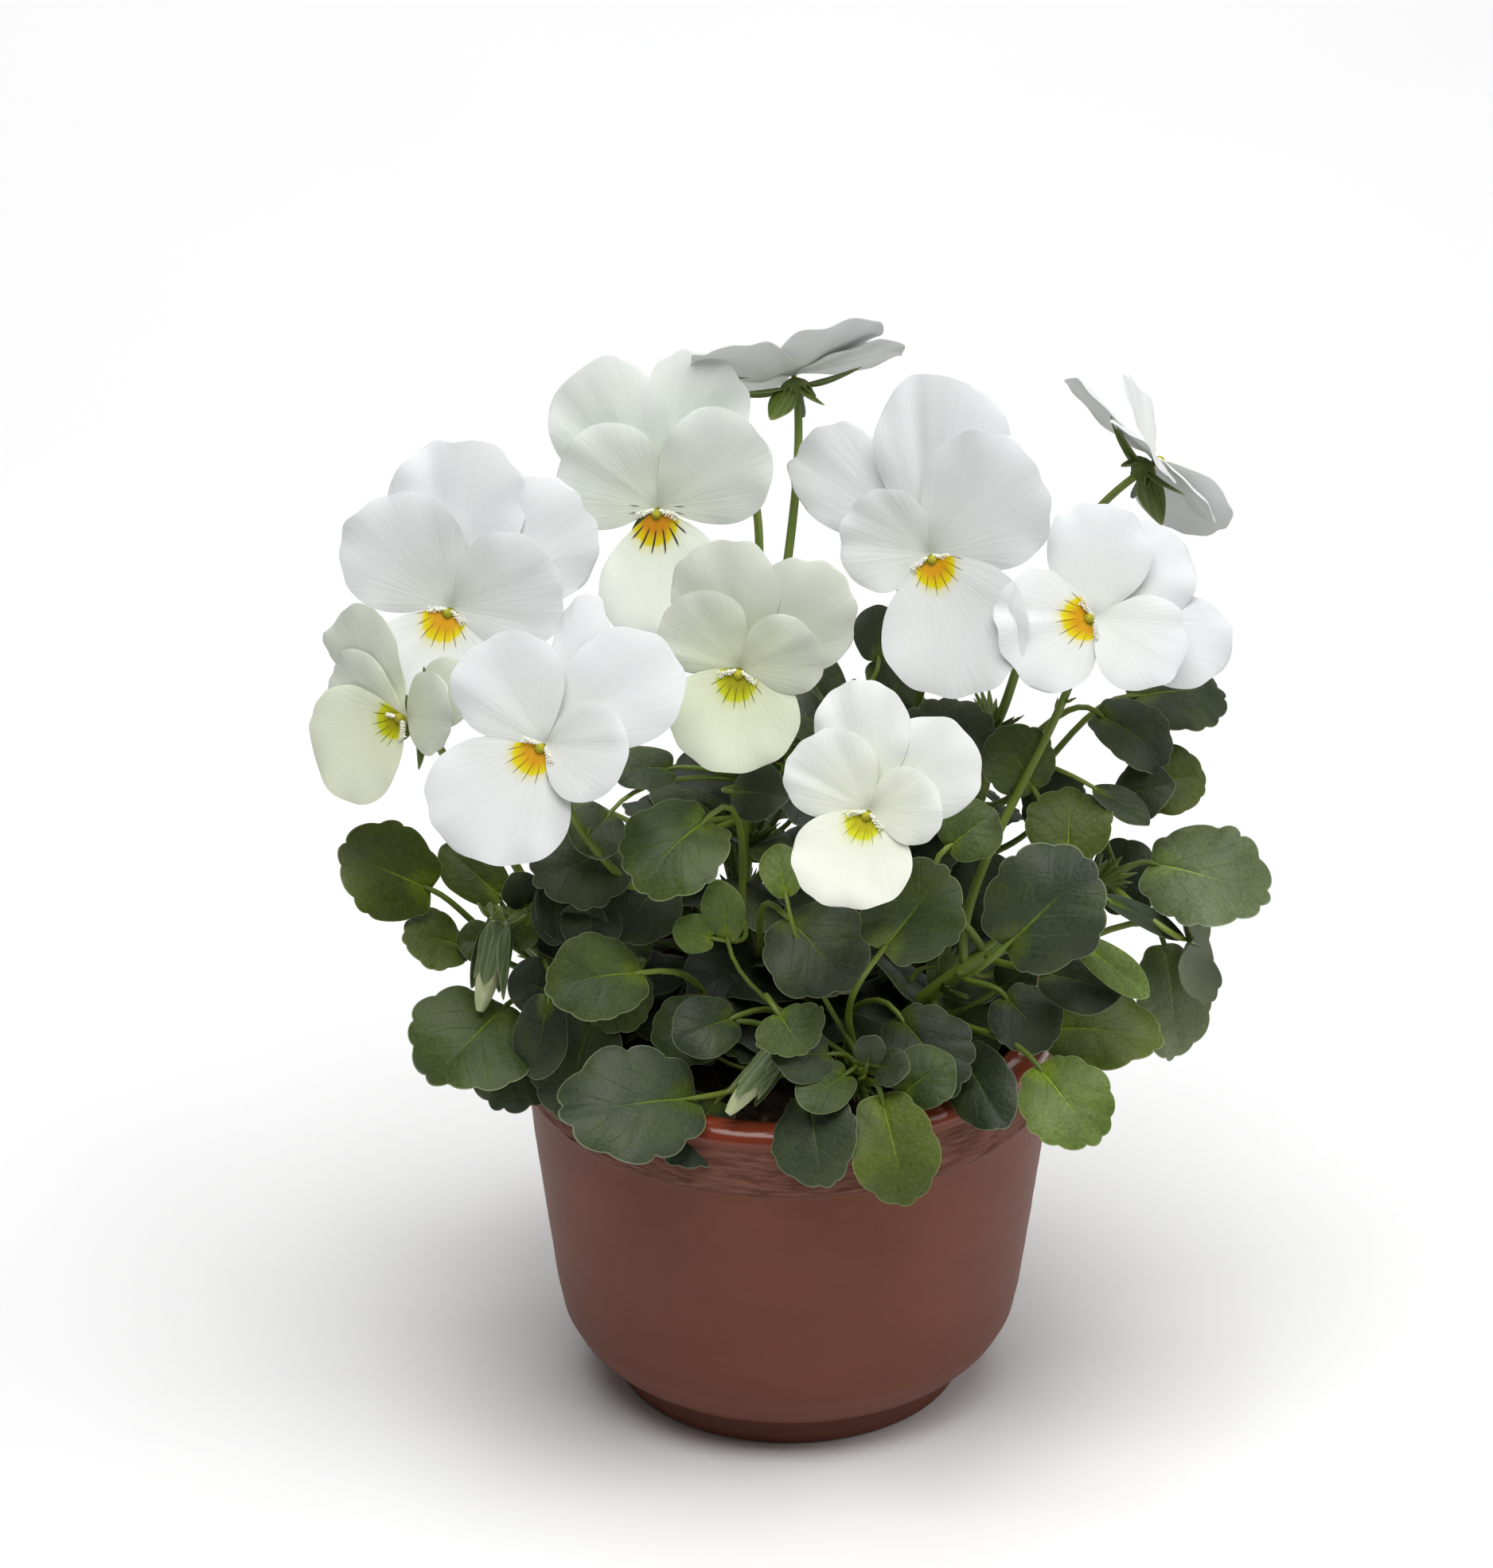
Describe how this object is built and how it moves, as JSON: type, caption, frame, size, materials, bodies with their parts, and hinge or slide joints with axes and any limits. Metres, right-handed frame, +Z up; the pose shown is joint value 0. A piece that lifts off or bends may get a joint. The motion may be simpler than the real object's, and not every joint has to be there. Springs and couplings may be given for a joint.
{
  "type": "potted pansy planter",
  "caption": "White pansy in flower with scalloped green leaves, stems and buds, growing in soil in a squat round clay pot with a banded, glazed rim.",
  "frame": {"origin": "centre of the pot's flat foot, on the pot's axis", "axes": "+Z up along the pot's axis, -Y towards the front of the plant, +X to its right as seen from the front"},
  "size_m": [0.2161, 0.1602, 0.253],
  "materials": {
    "clay": "matte",
    "earth": "matte",
    "shoot_green": "satin",
    "leaf_green": "matte",
    "petal_white": "satin",
    "bud_green": "satin"
  },
  "bodies": {
    "root": {"pot": "clay", "soil": "earth", "stem_left": "shoot_green", "stem_front": "shoot_green", "stem_right": "shoot_green", "stem_tall": "shoot_green", "stem_middle": "shoot_green", "stem_back": "shoot_green", "flower_stalk_01": "shoot_green", "flower_stalk_02": "shoot_green", "flower_stalk_03": "shoot_green", "flower_stalk_04": "shoot_green", "flower_stalk_05": "shoot_green", "flower_stalk_06": "shoot_green", "flower_stalk_07": "shoot_green", "flower_stalk_08": "shoot_green", "flower_stalk_09": "shoot_green", "flower_stalk_10": "shoot_green", "corolla_01": "petal_white", "corolla_02": "petal_white", "corolla_03": "petal_white", "corolla_04": "petal_white", "corolla_05": "petal_white", "corolla_06": "petal_white", "corolla_07": "petal_white", "corolla_08": "petal_white", "corolla_09": "petal_white", "corolla_10": "petal_white", "leaf_01": "leaf_green", "leaf_02": "leaf_green", "leaf_03": "leaf_green", "leaf_04": "leaf_green", "leaf_05": "leaf_green", "leaf_06": "leaf_green", "leaf_07": "leaf_green", "leaf_08": "leaf_green", "leaf_09": "leaf_green", "leaf_10": "leaf_green", "leaf_11": "leaf_green", "leaf_12": "leaf_green", "leaf_13": "leaf_green", "leaf_14": "leaf_green", "leaf_15": "leaf_green", "leaf_16": "leaf_green", "leaf_17": "leaf_green", "leaf_18": "leaf_green", "leaf_19": "leaf_green", "leaf_20": "leaf_green", "leaf_21": "leaf_green", "leaf_22": "leaf_green", "leaf_23": "leaf_green", "leaf_24": "leaf_green", "leaf_25": "leaf_green", "leaf_26": "leaf_green", "leaf_27": "leaf_green", "leaf_28": "leaf_green", "leaf_29": "leaf_green", "leaf_30": "leaf_green", "bud_left": "bud_green", "bud_front": "bud_green"}
  },
  "joints": []
}
